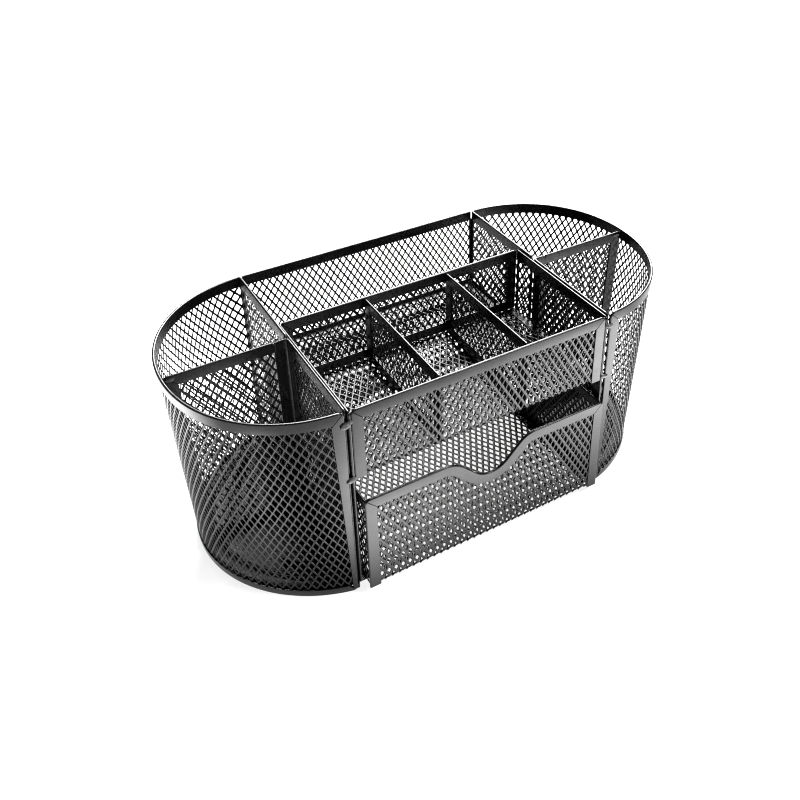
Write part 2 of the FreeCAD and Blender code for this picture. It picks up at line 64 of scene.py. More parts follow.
# ---------------------------------------------------------------- mesh builder
class Shape:
    """Points in millimetres and faces; becomes one Blender object."""

    def __init__(self):
        self.points, self.faces, self.count = [], [], 0

    def add(self, pts, faces):
        pts = np.asarray(pts, float).reshape(-1, 3)
        self.points.append(pts)
        k = self.count
        self.faces.append([tuple(i + k for i in f) for f in faces])
        self.count += len(pts)

    def rows(self, grid, caps=True, loop=True):
        """grid: stations x section x 3, joined into a closed skin."""
        grid = np.asarray(grid, float)
        s, k, _ = grid.shape
        faces = []
        for i in range(s - 1):
            for j in range(k if loop else k - 1):
                a, b = i * k + j, i * k + (j + 1) % k
                faces.append((a, b, b + k, a + k))
        if caps and loop:
            faces.append(tuple(range(k - 1, -1, -1)))
            faces.append(tuple((s - 1) * k + j for j in range(k)))
        self.add(grid.reshape(-1, 3), faces)


def smooth_sharp(me, angle):
    me.polygons.foreach_set("use_smooth", [True] * len(me.polygons))
    if angle is not None:
        me.set_sharp_from_angle(angle=math.radians(angle))


def finish_object(name, me, body, mat, replaces=()):
    o = bpy.data.objects.new(name, me)
    bpy.context.scene.collection.objects.link(o)
    me.materials.append(mat)
    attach(o, body)
    if replaces:
        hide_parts(*replaces)
    return o


def make(name, shape, body, mat, replaces=(), angle=38.0, weld=0.002):
    pts = np.concatenate(shape.points)
    pts = (pts + np.array([0.0, SHIFT_Y, 0.0])) * 0.001
    faces = [f for part in shape.faces for f in part]
    me = bpy.data.meshes.new(name)
    me.from_pydata(pts.tolist(), [], faces)
    bm = bmesh.new()
    bm.from_mesh(me)
    bmesh.ops.remove_doubles(bm, verts=bm.verts, dist=weld * 0.001)
    bmesh.ops.dissolve_degenerate(bm, edges=bm.edges, dist=1e-7)
    bmesh.ops.recalc_face_normals(bm, faces=bm.faces)
    bm.to_mesh(me)
    bm.free()
    me.update()
    smooth_sharp(me, angle)
    return finish_object(name, me, body, mat, replaces)


# ---------------------------------------------------------------- folded strip
def fold_section(w, t, sheet=0.42, cavity=1.1):
    """A folded strip's section: d from the folded edge, h across it."""
    e, g = min(0.62, t * 0.5), 0.1
    pts = [(w, t / 2 - g), (w - g, t / 2)]
    for deg in (90, 66, 44, 22, 0, -22, -44, -66, -90):
        a = math.radians(deg)
        pts.append((e * (1 - abs(math.cos(a)) ** 0.85), t / 2 * math.copysign(abs(math.sin(a)) ** 0.85, a)))
    pts += [(w - g, -t / 2), (w, -t / 2 + g)]
    if t > 2 * sheet + 0.15:
        pts += [(w, -t / 2 + sheet), (w - cavity, -t / 2 + sheet), (w - cavity, t / 2 - sheet), (w, t / 2 - sheet)]
    return np.array(pts)


def waviness(amount):
    a = rng.uniform(0.4, 1.0, 4) * amount
    k = rng.uniform(0.05, 0.4, 4)
    p = rng.uniform(0, 6.28, 4)
    return lambda s: sum(a[i] * np.sin(k[i] * s + p[i]) for i in range(4)) * 0.5


def bar(shape, place, s0, s1, w, t, start=("cut", 0), end=("cut", 0), step=5.0, wavy=0.035, sheet=0.42):
    """A folded strip along s from s0 to s1. place(s, d, h) gives its points: d
    is measured in from the folded edge and h across the strip. An end is cut
    square, or mitred with the next strip round a corner of the given radius."""
    sec = fold_section(w, t, sheet)
    d, h = sec[:, 0], sec[:, 1]
    sign = 1.0 if s1 > s0 else -1.0
    length = abs(s1 - s0)
    groove = 0.28

    def ends(kind, r):
        out = []
        if kind == "cut":
            out.append((np.zeros_like(d), d, h * (1 - 2 * 0.1 / t)))
            out.append((np.full_like(d, 0.14), d, h))
            return out, 0.3
        for n, deg in enumerate((45, 45, 30, 15, 0)):
            p = math.radians(deg)
            inside = d < r
            along = np.where(inside, r - (r - d) * math.sin(p), d)
            dd = np.where(inside, r - (r - d) * math.cos(p), d)
            hh = h
            if n == 0:
                hh = h * (1 - 2 * groove / t)
            else:
                along = along + 0.20
            out.append((along, dd, hh))
        return out, max(w, r) + 0.5

    first, k0 = ends(*start)
    last, k1 = ends(*end)
    wav, wav_d = waviness(wavy), waviness(wavy * 0.6)
    stations = [(s0 + sign * a, dd, hh) for a, dd, hh in first]
    room = length - k0 - k1
    if room > 0:
        n = max(1, int(round(room / step)))
        for i in range(n + 1):
            stations.append((np.full_like(d, s0 + sign * (k0 + room * i / n)), d, h))
    stations += [(s1 - sign * a, dd, hh) for a, dd, hh in reversed(last)]
    grid = []
    for s, dd, hh in stations:
        fade = np.clip(np.minimum(abs(s - s0), abs(s1 - s)) / 6.0, 0.0, 1.0)
        grid.append(place(s, dd + wav_d(s) * fade * (1 - dd / w), hh + wav(s) * fade))
    shape.rows(grid)


def xz(side_y):
    """Places strips of a panel across Y: a runs along x, b along z."""
    return lambda a, b, h: np.stack([a, side_y + h, b], -1)


def yz(at_x):
    return lambda a, b, h: np.stack([at_x + h, a, b], -1)


def xy(at_z):
    return lambda a, b, h: np.stack([a, b, at_z + h], -1)


def ring(shape, place, a0, a1, b0, b1, w, t, r=1.6, sides="tblr", low=None, left=None, right=None, wavy=0.035, sheet=0.42):
    """Edging round a rectangle in the plane place(a, b, h). Sides: top, bottom,
    left (a0), right (a1). Corners between two sides are mitred and rounded."""
    low = w if low is None else low
    left = w if left is None else left
    right = w if right is None else right

    def kind(other):
        return ("mitre", r) if other in sides else ("cut", 0)

    if "t" in sides:
        bar(shape, lambda s, d, h: place(s, b1 - d, h), a0, a1, w, t, kind("l"), kind("r"), wavy=wavy, sheet=sheet)
    if "b" in sides:
        bar(shape, lambda s, d, h: place(s, b0 + d, h), a0, a1, low, t, kind("l") if left == low else ("cut", 0), kind("r") if right == low else ("cut", 0), wavy=wavy, sheet=sheet)
    if "l" in sides:
        lo = b0 if left == low or "b" not in sides else b0 + low * 0.5
        bar(shape, lambda s, d, h: place(a0 + d, s, h), lo, b1, left, t, kind("b") if left == low else ("cut", 0), kind("t"), wavy=wavy, sheet=sheet)
    if "r" in sides:
        lo = b0 if right == low or "b" not in sides else b0 + low * 0.5
        bar(shape, lambda s, d, h: place(a1 - d, s, h), lo, b1, right, t, kind("b") if right == low else ("cut", 0), kind("t"), wavy=wavy, sheet=sheet)


# ---------------------------------------------------------------- expanded metal
def cell_template(pitch, lean_way):
    STRAND_W, STRAND_T = TRAY_STRAND if pitch == TRAY_PITCH else WALL_STRAND
    a, b = pitch / 2, PITCH_V / 2
    n = np.array([b, a]) / math.hypot(a, b)          # normal of the edge from top to right
    edge = n[1] * b                                  # its distance from the centre
    bev_w, bev_h = 0.61 * STRAND_W, 0.42 * STRAND_T   # the shears and the coat leave the strands round
    tip_y = (edge - STRAND_W) / n[1] - 0.10
    flat_x = (edge - STRAND_W) / n[0] - 0.13

    def hole(grow):
        y0, x1, e = tip_y + grow, flat_x + grow, edge - STRAND_W + grow
        x0 = (e - n[1] * y0) / n[0]
        y1 = (e - n[0] * x1) / n[1]
        return np.array([(x0, y0), (x1, y1), (x1, -y1), (x0, -y0), (-x0, -y0), (-x1, -y1), (-x1, y1), (-x0, y0)])

    half = STRAND_T / 2
    # the strands lean: at a hole's right side they go back, at its left they come forward
    rings = []
    for grow, h in ((bev_w, half), (0.0, half - bev_h), (0.0, -half + bev_h), (bev_w, -half)):
        p = hole(grow)
        line = a * (1 - np.abs(p[:, 1]) / b)
        lean = -lean_way * LEAN * np.minimum(line - np.abs(p[:, 0]), 0.62) * np.sign(p[:, 0])
        rings.append(np.column_stack([p, lean + h]))
    return half, rings


def mesh_panel(name, place, u0, u1, v0, v1, body, mat, replaces=(), keep=None, phase=None, bulge=0.12, pitch=WALL_PITCH, lean=1):
    """Expanded metal over the rectangle u0..u1, v0..v1 of place(u, v, h). What
    lies past the edge is pressed flat into the edging."""
    PITCH_U = pitch
    HALF_T, RINGS = cell_template(pitch, lean)
    pu, pv = phase if phase is not None else rng.uniform(0, 1, 2)
    cu, cv = [], []
    nu, nv = int((u1 - u0) / PITCH_U) + 3, int((v1 - v0) / PITCH_V) + 3
    for half in (0, 1):
        i, j = np.meshgrid(np.arange(-1, nu), np.arange(-1, nv), indexing="ij")
        cu.append((2 * i + half).ravel())
        cv.append((2 * j + half).ravel())
    cu, cv = np.concatenate(cu), np.concatenate(cv)
    ou, ov = u0 + pu * PITCH_U, v0 + pv * PITCH_V

    def real(iu, iv):
        return ou + iu * PITCH_U / 2, ov + iv * PITCH_V / 2

    x, y = real(cu, cv)
    ok = (x + PITCH_U / 2 > u0 + 0.3) & (x - PITCH_U / 2 < u1 - 0.3) & (y + PITCH_V / 2 > v0 + 0.3) & (y - PITCH_V / 2 < v1 - 0.3)
    if keep is not None:
        ok &= keep(x, y)
    cu, cv, x, y = cu[ok], cv[ok], x[ok], y[ok]
    n = len(cu)
    # lattice corners shared by neighbours
    ku = np.stack([cu, cu + 1, cu, cu - 1], 1)
    kv = np.stack([cv + 1, cv, cv - 1, cv], 1)
    key = (ku + 4000) * 10000 + (kv + 4000)
    uniq, inv = np.unique(key.ravel(), return_inverse=True)
    inv = inv.reshape(n, 4)
    lu, lv = real(uniq // 10000 - 4000, uniq % 10000 - 4000)
    m = len(uniq)
    u = [lu, lu]
    v = [lv, lv]
    h = [np.full(m, HALF_T), np.full(m, -HALF_T)]
    for r in RINGS:
        u.append((x[:, None] + r[None, :, 0]).ravel())
        v.append((y[:, None] + r[None, :, 1]).ravel())
        h.append(np.broadcast_to(r[None, :, 2], (n, 8)).ravel())
    u, v, h = np.concatenate(u), np.concatenate(v), np.concatenate(h)
    # a slight unevenness, as sheet that was stretched and handled
    s1, s2, s3 = rng.uniform(0, 6.28, 3)
    u = u + 0.10 * np.sin(v * 0.11 + s1)
    v = v + 0.12 * np.sin(u * 0.08 + s2)
    mid_u, mid_v = (u - u0) * (u1 - u), (v - v0) * (v1 - v)
    swell = np.clip(mid_u / ((u1 - u0) / 2) ** 2, 0, 1) * np.clip(mid_v / ((v1 - v0) / 2) ** 2, 0, 1)
    h = h + bulge * swell * np.sin(u * 0.05 + s3)
    u = np.clip(u, u0, u1)
    v = np.clip(v, v0, v1)
    pts = (place(u, v, h) + np.array([0.0, SHIFT_Y, 0.0])) * 0.001
    base = [2 * m + k * n * 8 for k in range(4)]
    cell = np.arange(n) * 8
    quads, tris = [], []
    # hole points 0 and 1 face the edge top-right, 2 and 3 right-bottom, and so on
    span = [(0, 1, 0, 1), (1, 2, 2, 3), (2, 3, 4, 5), (3, 0, 6, 7)]
    for off, ring_base, flip in ((0, base[0], False), (m, base[3], True)):
        for ca, cb, ha, hb in span:
            q = np.stack([inv[:, ca] + off, inv[:, cb] + off, ring_base + cell + hb, ring_base + cell + ha], 1)
            quads.append(q[:, ::-1] if flip else q)
        for c, ha, hb in ((1, 1, 2), (2, 3, 4), (3, 5, 6), (0, 7, 0)):
            q = np.stack([inv[:, c] + off, ring_base + cell + hb, ring_base + cell + ha], 1)
            tris.append(q[:, ::-1] if flip else q)
    for k in range(3):
        for j in range(8):
            j2 = (j + 1) % 8
            q = np.stack([base[k] + cell + j, base[k] + cell + j2, base[k + 1] + cell + j2, base[k + 1] + cell + j], 1)
            quads.append(q)
    quads, tris = np.concatenate(quads), np.concatenate(tris)
    # the faces run clockwise seen from +h, so they are turned round
    quads, tris = quads[:, ::-1], tris[:, ::-1]
    me = bpy.data.meshes.new(name)
    me.vertices.add(len(pts))
    me.vertices.foreach_set("co", pts.astype(np.float32).ravel())
    loops = np.concatenate([quads.ravel(), tris.ravel()]).astype(np.int32)
    me.loops.add(len(loops))
    me.loops.foreach_set("vertex_index", loops)
    starts = np.concatenate([np.arange(len(quads)) * 4, len(quads) * 4 + np.arange(len(tris)) * 3]).astype(np.int32)
    me.polygons.add(len(starts))
    me.polygons.foreach_set("loop_start", starts)
    me.update(calc_edges=True)
    me.validate()
    # flattened cells leave slivers without area under the edging: drop them
    bm = bmesh.new()
    bm.from_mesh(me)
    bmesh.ops.dissolve_degenerate(bm, edges=bm.edges, dist=2e-6)
    bm.to_mesh(me)
    bm.free()
    smooth_sharp(me, 62)
    return finish_object(name, me, body, mat, replaces)


# ---------------------------------------------------------------- materials
def node(nt, kind, **props):
    n = nt.nodes.new(kind)
    for k, v in props.items():
        setattr(n, k, v)
    return n


def coating(name, dark, light, rough_lo, rough_hi, peel=0.10, peel_scale=1500.0, wave=0.0, spec=0.5, coat=0.0, speck=0.0):
    """Powder coat: orange peel, patches of sheen and a little colour drift."""
    m = bpy.data.materials.new(name)
    m.use_nodes = True
    nt = m.node_tree
    nt.nodes.clear()
    out = node(nt, "ShaderNodeOutputMaterial")
    p = node(nt, "ShaderNodeBsdfPrincipled")
    nt.links.new(p.outputs["BSDF"], out.inputs["Surface"])
    p.inputs["IOR"].default_value = 1.5
    p.inputs["Specular IOR Level"].default_value = spec
    p.inputs["Coat Weight"].default_value = coat
    p.inputs["Coat Roughness"].default_value = 0.18
    tc = node(nt, "ShaderNodeTexCoord")
    # colour drift
    n1 = node(nt, "ShaderNodeTexNoise")
    n1.inputs["Scale"].default_value = 45.0
    n1.inputs["Detail"].default_value = 4.0
    nt.links.new(tc.outputs["Object"], n1.inputs["Vector"])
    mix = node(nt, "ShaderNodeMix", data_type="RGBA")
    mix.inputs["A"].default_value = (*dark, 1)
    mix.inputs["B"].default_value = (*light, 1)
    nt.links.new(n1.outputs["Fac"], mix.inputs["Factor"])
    nt.links.new(mix.outputs["Result"], p.inputs["Base Color"])
    # sheen patches
    n2 = node(nt, "ShaderNodeTexNoise")
    n2.inputs["Scale"].default_value = 160.0
    n2.inputs["Detail"].default_value = 5.0
    nt.links.new(tc.outputs["Object"], n2.inputs["Vector"])
    mr = node(nt, "ShaderNodeMapRange")
    mr.inputs["From Min"].default_value = 0.3
    mr.inputs["From Max"].default_value = 0.7
    mr.inputs["To Min"].default_value = rough_lo
    mr.inputs["To Max"].default_value = rough_hi
    nt.links.new(n2.outputs["Fac"], mr.inputs["Value"])
    nt.links.new(mr.outputs["Result"], p.inputs["Roughness"])
    # orange peel, and a slow unevenness of the sheet
    n3 = node(nt, "ShaderNodeTexNoise")
    n3.inputs["Scale"].default_value = peel_scale
    n3.inputs["Detail"].default_value = 3.0
    nt.links.new(tc.outputs["Object"], n3.inputs["Vector"])
    b1 = node(nt, "ShaderNodeBump")
    b1.inputs["Strength"].default_value = peel
    b1.inputs["Distance"].default_value = 0.0002
    nt.links.new(n3.outputs["Fac"], b1.inputs["Height"])
    if wave:
        n4 = node(nt, "ShaderNodeTexNoise")
        n4.inputs["Scale"].default_value = 110.0
        n4.inputs["Detail"].default_value = 2.0
        nt.links.new(tc.outputs["Object"], n4.inputs["Vector"])
        b2 = node(nt, "ShaderNodeBump")
        b2.inputs["Strength"].default_value = wave
        b2.inputs["Distance"].default_value = 0.001
        nt.links.new(n4.outputs["Fac"], b2.inputs["Height"])
        nt.links.new(b1.outputs["Normal"], b2.inputs["Normal"])
        nt.links.new(b2.outputs["Normal"], p.inputs["Normal"])
    else:
        nt.links.new(b1.outputs["Normal"], p.inputs["Normal"])
    return m


# the edging is the same black coat as the mesh and the pan; its lighter base is painted fill light, which brightens the
# rims
EDGING_PAINTED_FILL = coating("powder_coat_edging", (0.0070, 0.0070, 0.0072), (0.0125, 0.0125, 0.0128), 0.24, 0.31, peel=0.05, wave=0.004, spec=0.40)
MESH = coating("powder_coat_mesh", (0.0014, 0.0014, 0.0015), (0.0029, 0.0029, 0.0031), 0.24, 0.32, peel=0.06, peel_scale=2600.0, spec=0.40)
PAN = coating("powder_coat_pan", (0.0014, 0.0014, 0.0016), (0.0030, 0.0030, 0.0032), 0.26, 0.36, peel=0.05, wave=0.01, spec=0.18)
# the welds lie under the same black coat; their grey base is a painted highlight for the light the rounded lumps catch
BEAD_PAINTED_SHEEN = coating("powder_coat_weld_painted_sheen", (0.07, 0.07, 0.073), (0.16, 0.16, 0.165), 0.30, 0.42, peel=0.4, peel_scale=1100.0, spec=0.45, coat=0.0)

R = "organizer"
D = "drawer"


# ---------------------------------------------------------------- cup path
def plan(t, z):
    """Outer plan curve: x out from the flat wall and y, for t from -1 (front) to 1."""
    u = np.sin(np.asarray(t, float) * math.pi / 2)

    def out(bulge, full, power):
        top = (1 - (full * np.abs(u)) ** power) ** (1 / power)
        end = (1 - full**power) ** (1 / power)
        return bulge * (top - end) / (1 - end)

    k = np.asarray(z, float) / HIGH
    return (1 - k) * out(BULGE_LOW, FULL_LOW, POWER_LOW) + k * out(BULGE_TOP, FULL_TOP, POWER_TOP), HALF_D * u


def plan_normal(t, z):
    e = 1e-3
    a = plan(np.maximum(-1.0, t - e), z)
    b = plan(np.minimum(1.0, t + e), z)
    dx, dy = b[0] - a[0], b[1] - a[1]
    n = np.hypot(dx, dy)
    return dy / n, -dx / n


def arc_table(z):
    t = np.linspace(-1, 1, 4001)
    x, y = plan(t, np.full_like(t, z))
    return t, np.concatenate([[0.0], np.cumsum(np.hypot(np.diff(x), np.diff(y)))])


T_TOP, S_TOP = arc_table(HIGH)
T_MID, S_MID = arc_table(50.0)
T_LOW, S_LOW = arc_table(0.0)
BEND_AT = 0.6


def cup(side, s, z, out, table="top", flat_x=-RIM_T, flat_y=56.2):
    """A point by the cup's wall: s along it from its front end, out from its
    outer face. Past the rear end the path turns the corner and runs forwards
    along the flat wall."""
    s, z, out = np.broadcast_arrays(np.asarray(s, float), np.asarray(z, float), np.asarray(out, float))
    tt, ss = {"top": (T_TOP, S_TOP), "mid": (T_MID, S_MID), "low": (T_LOW, S_LOW)}[table]
    end = ss[-1] - BEND_AT
    t = np.interp(np.minimum(s, end), ss, tt)
    x, y = plan(t, z)
    nx, ny = plan_normal(t, z)
    over = s > end
    if np.any(over):
        # a rounded corner from the curve's end to the flat wall's far face
        px, py, mx, my = x, y, nx, ny
        tx, ty = -my, mx                    # direction of travel
        cx = np.full_like(px, flat_x)
        cy = py + (cx - px) * ty / np.minimum(tx, -1e-6)
        qx, qy = cx, np.full_like(cy, flat_y)
        span = 3.3
        k = np.clip((s - end) / span, 0, 1)
        bx = (1 - k) ** 2 * px + 2 * k * (1 - k) * cx + k**2 * qx
        by = (1 - k) ** 2 * py + 2 * k * (1 - k) * cy + k**2 * qy
        gx = 2 * (1 - k) * (cx - px) + 2 * k * (qx - cx)
        gy = 2 * (1 - k) * (cy - py) + 2 * k * (qy - cy)
        g = np.hypot(gx, gy)
        bnx, bny = gy / g, -gx / g
        bx, by = bx, by - np.maximum(0, s - end - span)
        x = np.where(over, bx, x)
        y = np.where(over, by, y)
        nx = np.where(over, bnx, nx)
        ny = np.where(over, bny, ny)
    x, y = x + nx * out, y + ny * out
    return np.stack([side * (WALL_X + x), y, z], -1)


def path_end(table, y_stop, flat_y=56.2):
    ss = {"top": S_TOP, "mid": S_MID, "low": S_LOW}[table]
    return ss[-1] - BEND_AT + 3.3 + (flat_y - y_stop)


WALL_FRONT_Y = 0.8        # front end of the flat wall's rear half

for side, word in ((-1, "left"), (1, "right")):
    # top rim: from the front corner round the cup, round the rear corner and
    # forwards along the flat wall
    rim = Shape()
    s_end = path_end("top", WALL_FRONT_Y)
    bar(rim, lambda s, d, h: cup(side, s, HIGH - d, h - RIM_T / 2), 0.0, s_end, RIM_W, RIM_T, ("mitre", 2.6), ("mitre", 1.8), step=2.0, wavy=0.03)
    make(word + "_cup_top_rim_fold", rim, R, EDGING_PAINTED_FILL, [word + "_cup_top_rim"])

    # front post, mitred into the rim
    posts = Shape()
    bar(posts, lambda s, d, h: cup(side, d, s, h - RIM_T / 2), 1.2, HIGH, POST_W, RIM_T, ("cut", 0), ("mitre", 2.6))
    # slim rear post in the corner, where the cup and the back wall meet
    plp = xz(HALF_D - RIM_T / 2)
    bar(posts, lambda s, d, h: plp(side * (WALL_X - 0.1 - d), s, h), BASE_Z + 0.4, HIGH - RIM_W + 0.6, 2.1, RIM_T - 0.1, wavy=0.03)
    make(word + "_cup_post_folds", posts, R, EDGING_PAINTED_FILL, [word + "_cup_posts"])

    # foot rim: folded under the wall, all round
    foot = Shape()
    s_end = path_end("low", -54.0)
    bar(foot, lambda s, d, h: cup(side, s, d, h - RIM_T / 2, "low"), 0.0, s_end, FOOT_H, RIM_T, ("mitre", 1.8), ("cut", 0), step=2.0, wavy=0.02)
    # the short return at the front corner, behind the post's foot
    bar(foot, lambda s, d, h: np.stack([np.full_like(s, 1.0) * side * (WALL_X - RIM_T / 2) + side * h, s, d], -1), -HALF_D + 0.9, -54.0, FOOT_H, RIM_T, wavy=0.0)
    make(word + "_cup_foot_fold", foot, R, EDGING_PAINTED_FILL, [word + "_cup_foot_rim"])

    # wall mesh, inside the folds
    s_mid = S_MID[-1]
    mesh_panel(
        word + "_cup_wall_expanded", lambda u, v, h: cup(side, u, v, -RIM_T / 2 + h, "mid"),
        0.8, s_mid + 1.2, 0.5, HIGH - 0.7, R, MESH, [word + "_cup_wall_mesh"], bulge=0.2, lean=-side,
    )

    # floor pan: flat, with a pressed bead and an edge turned up inside the foot
    n_c = 72
    tc = np.linspace(-1, 1, n_c)

    def outline(inset, z):
        zz = np.full(n_c, BASE_Z + 1.0)
        x, y = plan(tc, zz)
        nx, ny = plan_normal(tc, zz)
        lim = HALF_D - inset
        x, y = x - nx * inset, np.clip(y - ny * inset, -lim, lim)
        x = np.maximum(x, inset - RIM_T)
        fy = np.linspace(y[-1], y[0], 26)[1:-1]
        fx = np.full_like(fy, inset - RIM_T)
        px, py = np.concatenate([x, fx]), np.concatenate([y, fy])
        return np.stack([side * (WALL_X + px), py, np.full_like(px, z)], -1)

    pan = Shape()
    prof = [(1.46, 2.30), (1.46, 4.5), (1.62, 4.62), (1.80, 4.5), (1.86, 3.75), (2.1, 3.4), (2.6, 3.2), (6.0, 3.2), (6.5, 3.3), (7.1, 3.72), (7.7, 3.9), (8.3, 3.72), (8.9, 3.3), (9.4, 3.2), (16.0, 3.2), (25.0, 3.2)]
    under = [(25.0, 2.55), (16.0, 2.5), (9.4, 2.45), (8.9, 2.55), (8.3, 2.95), (7.7, 3.15), (7.1, 2.95), (6.5, 2.55), (6.0, 2.45), (2.2, 2.35)]
    grid = [outline(i, z) for i, z in prof] + [outline(i, z) for i, z in under]
    grid = np.array(grid)
    s_, k_, _ = grid.shape
    faces = []
    for i in range(s_ - 1):
        if i == len(prof) - 1:
            continue
        for j in range(k_):
            a, b = i * k_ + j, i * k_ + (j + 1) % k_
            faces.append((a, b, b + k_, a + k_))
    i = s_ - 1
    for j in range(k_):
        a, b = i * k_ + j, i * k_ + (j + 1) % k_
        faces.append((a, b, (j + 1) % k_, j))
    faces.append(tuple((len(prof) - 1) * k_ + j for j in range(k_)))
    faces.append(tuple(len(prof) * k_ + j for j in range(k_ - 1, -1, -1)))
    pan.add(grid, faces)
    make(word + "_cup_floor_pan", pan, R, PAN, [word + "_cup_floor"], angle=50)

    # flat wall: the rear half, edged on three sides below the rim
    xw = side * (WALL_X - RIM_T / 2)
    wall = Shape()
    pl = lambda a, b, h: np.stack([xw + side * h, a, b], -1)
    y0, y1 = WALL_FRONT_Y, HALF_D - RIM_T - 0.2
    bar(wall, lambda s, d, h: pl(y0 + d, s, h), BASE_Z + 0.3, HIGH - RIM_W + 0.8, 1.3, 1.0, wavy=0.015, sheet=0.6)
    bar(wall, lambda s, d, h: pl(s, BASE_Z + d, h), y0, y1, RIM_W, RIM_T, ("cut", 0), ("cut", 0))
    bar(wall, lambda s, d, h: pl(y1 - d, s, h), BASE_Z + 0.3, HIGH - RIM_W + 0.8, 0.9, 0.8, wavy=0.015, sheet=0.6)
    make(word + "_side_wall_folds", wall, R, EDGING_PAINTED_FILL, [word + "_side_wall_frame"])
    mesh_panel(word + "_side_wall_expanded", pl, y0 + 0.7, y1 - 0.3, BASE_Z + 0.7, HIGH - 0.7, R, MESH, [word + "_side_wall_mesh"], lean=side)

    # divider: from the cup's far side to the flat wall, bent round to a leg
    # that runs forwards in the flat wall's plane
    far = BULGE_LOW - RIM_T
    flare = (BULGE_TOP - BULGE_LOW) / HIGH
    bend = 1.5
    leg_x, leg_y0 = -RIM_T / 2, -HALF_D + RIM_T
    run1 = far - (leg_x + bend)
    arc = bend * math.pi / 2
    total = run1 + arc + (-bend - leg_y0)

    def insert(s, z, h):
        s, z, h = np.broadcast_arrays(np.asarray(s, float), np.asarray(z, float), np.asarray(h, float))
        a = np.clip((s - run1) / bend, 0, math.pi / 2)
        k = np.clip(s - run1 - arc, 0, None)
        widen = flare * z * np.clip(1 - s / (run1 - 8.0), 0, 1)
        x = np.where(s < run1, far - s + widen, leg_x + bend - bend * np.sin(a))
        y = np.where(s < run1, 0.0, -bend + bend * np.cos(a)) - k
        nx, ny = -np.sin(a), np.cos(a)
        x, y = x + nx * h, y + ny * h
        return np.stack([side * (WALL_X + x), y, z], -1)

    z0, z1 = BASE_Z + FLOOR_T, TOP_IN
    div = Shape()
    notch = run1 - 4.9
    top = lambda s, d, h: insert(s, z1 - d, h)
    bar(div, top, 0.0, notch - 0.35, RIM_W, INNER_T, ("mitre", 1.4), ("cut", 0))
    bar(div, lambda s, d, h: insert(s, z1 - 0.9 - d, h), notch - 0.6, notch + 0.6, RIM_W - 0.9, INNER_T - 0.24, step=0.4, wavy=0.0)
    bar(div, lambda s, d, h: insert(s, z1 - 0.25 - d + 0.25 * np.clip((s - notch) / 4.0, 0, 1), h), notch + 0.35, total, RIM_W, INNER_T, ("cut", 0), ("mitre", 1.4), step=1.4)
    bar(div, lambda s, d, h: insert(s, z0 + d, h), 0.0, total, RIM_W, INNER_T, ("mitre", 1.4), ("mitre", 1.4), step=1.4)
    bar(div, lambda s, d, h: insert(d, s, h), z0, z1, RIM_W, INNER_T, ("mitre", 1.4), ("mitre", 1.4))
    bar(div, lambda s, d, h: insert(total - d, s, h), z0, z1, RIM_W, INNER_T, ("mitre", 1.4), ("mitre", 1.4))
    # the two end strips at the bend, one each side of it
    for sgn, s_from in ((-1, run1 - 0.4), (1, run1 + arc + 0.4)):
        bar(div, lambda s, d, h: insert(s_from + sgn * d, s, h), z0 + RIM_W - 0.7, z1 - RIM_W + 0.7, RIM_W - 0.6, INNER_T, wavy=0.02)
    # the bend itself, between them
    s_list = np.linspace(run1 - 0.6, run1 + arc + 0.6, 7)
    sec = np.concatenate([np.stack([s_list, np.full(7, INNER_T / 2 - 0.1)], 1), np.stack([s_list[::-1], np.full(7, -INNER_T / 2 + 0.1)], 1)])
    div.rows([insert(sec[:, 0], np.full(14, z), sec[:, 1]) for z in np.linspace(z0 + RIM_W - 0.7, z1 - RIM_W + 0.7, 9)])
    make(word + "_divider_folds", div, R, EDGING_PAINTED_FILL, [word + "_divider_frame"])
    mesh_panel(word + "_divider_expanded", insert, 0.7, run1 - 0.5, z0 + 0.7, z1 - 0.7, R, MESH, [word + "_divider_mesh"])
    mesh_panel(word + "_divider_leg_expanded", insert, run1 + arc + 0.5, total - 0.7, z0 + 0.7, z1 - 0.7, R, MESH, [word + "_divider_leg_mesh"])

    # inner side panel of the tray and drawer bay
    xb = side * (WALL_X - RIM_T - INNER_T / 2)
    bay = Shape()
    bz0, bz1 = BASE_Z + 0.8, TRAY_TOP
    plb = lambda a, b, h: np.stack([xb + side * h, a, b], -1)
    ring(bay, plb, -HALF_D, TRAY_BACK, bz0, bz1, RIM_W, INNER_T, r=1.6, sides="tbl")
    bar(bay, lambda s, d, h: plb(TRAY_BACK - d, s, h), bz0 + 0.3, bz1 - 0.8, 1.3, 1.0, wavy=0.015, sheet=0.6)
    make(word + "_bay_side_folds", bay, R, EDGING_PAINTED_FILL, [word + "_bay_side_frame"])
    mesh_panel(word + "_bay_side_expanded", plb, -HALF_D + 0.7, TRAY_BACK - 0.7, bz0 + 0.7, bz1 - 0.7, R, MESH, [word + "_bay_side_mesh"])

# ---------------------------------------------------------------- back wall
BX = WALL_X - RIM_T
yb = HALF_D - RIM_T / 2
back = Shape()
plk = xz(yb)
bar(back, lambda s, d, h: plk(s, HIGH - d, h), -BX + 0.25, BX - 0.25, RIM_W, RIM_T, wavy=0.05)
make("back_wall_top_fold", back, R, EDGING_PAINTED_FILL, ["back_wall_top_rim"])
back = Shape()
bar(back, lambda s, d, h: plk(s, BASE_Z + d, h), -BX, BX, RIM_W, RIM_T)
make("back_wall_foot_fold", back, R, EDGING_PAINTED_FILL, ["back_wall_foot_strip"])
mesh_panel("back_wall_expanded", plk, -BX + 0.2, BX - 0.2, BASE_Z + 0.7, HIGH - 0.7, R, MESH, ["back_wall_mesh"], bulge=0.35)

